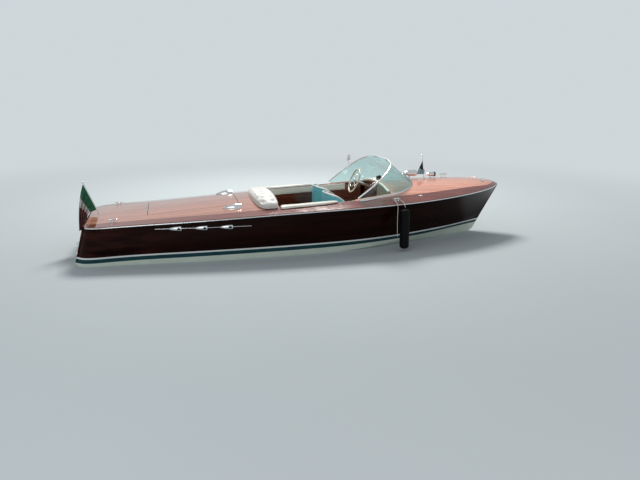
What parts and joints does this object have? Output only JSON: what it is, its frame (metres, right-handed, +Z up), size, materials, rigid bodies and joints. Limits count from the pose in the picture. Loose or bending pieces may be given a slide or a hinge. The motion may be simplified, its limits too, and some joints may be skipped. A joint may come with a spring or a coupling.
{
  "type": "varnished wooden runabout speedboat",
  "caption": "Varnished mahogany runabout with an open cockpit, wrapped windshield, long aft engine deck, propeller, rudder and bright deck fittings.",
  "frame": {"origin": "on the centreline at the water's surface, at the foot of the transom", "axes": "+X towards the bow, +Y to port, +Z up"},
  "size_m": [6.7836, 2.1576, 1.889],
  "materials": {
    "hull_mahogany": "gloss varnish",
    "deck_mahogany": "gloss varnish",
    "board_mahogany": "gloss varnish",
    "sole_wood": "satin varnish",
    "bottom_paint": "painted satin",
    "chrome": "polished",
    "bronze": "brushed",
    "engine_iron": "satin",
    "cream_leather": "satin",
    "turquoise_leather": "satin",
    "windshield_glass": "clear",
    "wheel_cream": "gloss",
    "flag_cloth": "matte",
    "pennant_cloth": "matte",
    "fender_rubber": "satin",
    "rope_white": "matte",
    "black_plastic": "gloss"
  },
  "bodies": {
    "hull": {"keel": "bottom_paint", "bottom_port": "bottom_paint", "bottom_starboard": "bottom_paint", "topside_port": "hull_mahogany", "topside_starboard": "hull_mahogany", "transom": "hull_mahogany", "stem": "hull_mahogany", "stem_band": "chrome", "covering_board_port": "board_mahogany", "covering_board_starboard": "board_mahogany", "foredeck": "deck_mahogany", "aft_deck": "deck_mahogany", "rub_rails": "chrome", "stern_gear": "bronze", "engine": "engine_iron", "sole": "sole_wood", "bulkheads": "board_mahogany", "side_linings": "board_mahogany", "dash": "cream_leather", "dash_roll": "cream_leather", "seat_bases": "board_mahogany", "seat_cushions": "cream_leather", "front_seat_back": "turquoise_leather", "rear_deck_cushion": "cream_leather", "coaming_rolls": "cream_leather", "coaming_pads": "cream_leather", "windshield_glass": "windshield_glass", "windshield_frame": "chrome", "windshield_base": "chrome", "steering_column": "chrome", "searchlight": "chrome", "horn": "chrome", "bow_cleat": "chrome", "midship_cleats": "chrome", "stern_cleats": "chrome", "bow_chocks": "chrome", "deck_scoops": "chrome", "side_vents": "chrome", "flagstaff": "chrome", "burgee_staff": "chrome", "flag": "flag_cloth", "pennant": "pennant_cloth", "mirror": "chrome", "stern_eyes": "chrome", "exhausts": "chrome", "hatch_hinges": "chrome", "fender": "fender_rubber", "fender_rope": "rope_white", "rear_seat_back": "turquoise_leather", "instruments": "chrome", "compass": "black_plastic", "deck_cap": "chrome"},
    "propeller": {"propeller": "bronze", "propeller_shaft": "bronze"},
    "rudder": {"rudder": "bronze"},
    "helm_wheel": {"steering_wheel": "wheel_cream"},
    "hatch": {"engine_hatch": "deck_mahogany"}
  },
  "joints": [
    {"name": "propeller_spin", "type": "hinge", "parent": "hull", "child": "propeller", "pos_m": [0.34, 0, -0.43029], "axis": [0.9781, 0, 0.2079], "continuous": true},
    {"name": "wheel_turn", "type": "hinge", "parent": "hull", "child": "helm_wheel", "pos_m": [4.3, 0.38, 0.875], "axis": [0.9272, 0, -0.3746], "range_deg": [-540, 540]},
    {"name": "rudder_turn", "type": "hinge", "parent": "hull", "child": "rudder", "pos_m": [0.1, 0, -0.3], "axis": [0, 0, 1], "range_deg": [-35, 35]},
    {"name": "hatch_lift", "type": "hinge", "parent": "hull", "child": "hatch", "pos_m": [0.9935, 0, 0.636], "axis": [0, -1, 0], "range_deg": [0, 60]}
  ],
  "couplings": [
    {"joint": "rudder_turn", "follows": "wheel_turn", "ratio": 0.064815}
  ]
}
